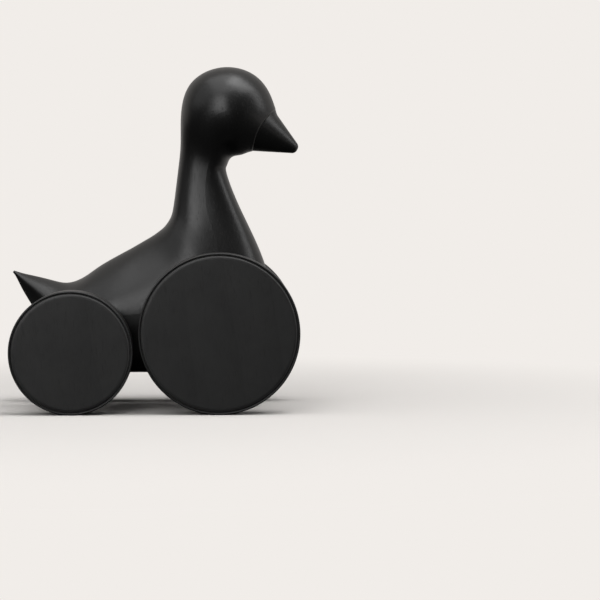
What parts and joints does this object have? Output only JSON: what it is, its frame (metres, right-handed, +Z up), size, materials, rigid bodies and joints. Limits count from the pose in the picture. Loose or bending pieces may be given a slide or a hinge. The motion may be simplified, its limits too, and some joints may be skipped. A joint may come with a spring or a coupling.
{
  "type": "wheeled wooden duck figure",
  "caption": "Black-stained wooden duck with an upright neck and a let-in cone beak, rolling on plain disc wheels glued to axles that turn in its body.",
  "frame": {"origin": "on the ground, on the duck's middle plane, midway between the tail's tip and the beak's tip", "axes": "+X is the way the beak points, +Y is the duck's left, +Z is up"},
  "size_m": [0.1634, 0.103, 0.1949],
  "materials": {
    "body_wood": "black stain, satin lacquer",
    "wheel_wood": "black stain, matt lacquer",
    "beak_wood": "black stain, satin lacquer",
    "collar_wood": "black stain, matt lacquer",
    "plain_wood": "bare beech",
    "axle_steel": "ground rod",
    "bush_brass": "turned",
    "washer_nylon": "moulded nylon"
  },
  "bodies": {
    "duck": {"body": "body_wood", "beak": "beak_wood", "beak_dowel": "plain_wood", "front_bush_left": "bush_brass", "front_collar_left": "collar_wood", "front_bush_right": "bush_brass", "front_collar_right": "collar_wood", "rear_bush_left": "bush_brass", "rear_collar_left": "collar_wood", "rear_bush_right": "bush_brass", "rear_collar_right": "collar_wood"},
    "front_wheelset": {"front_axle": "axle_steel", "front_wheel_left": "wheel_wood", "front_washer_left": "washer_nylon", "front_wheel_right": "wheel_wood", "front_washer_right": "washer_nylon"},
    "rear_wheelset": {"rear_axle": "axle_steel", "rear_wheel_left": "wheel_wood", "rear_washer_left": "washer_nylon", "rear_wheel_right": "wheel_wood", "rear_washer_right": "washer_nylon"}
  },
  "joints": [
    {"name": "front_wheels_roll", "type": "hinge", "parent": "duck", "child": "front_wheelset", "pos_m": [0.0364, 0, 0.045], "axis": [0, 1, 0], "continuous": true},
    {"name": "rear_wheels_roll", "type": "hinge", "parent": "duck", "child": "rear_wheelset", "pos_m": [-0.046, 0, 0.0345], "axis": [0, 1, 0], "continuous": true}
  ]
}
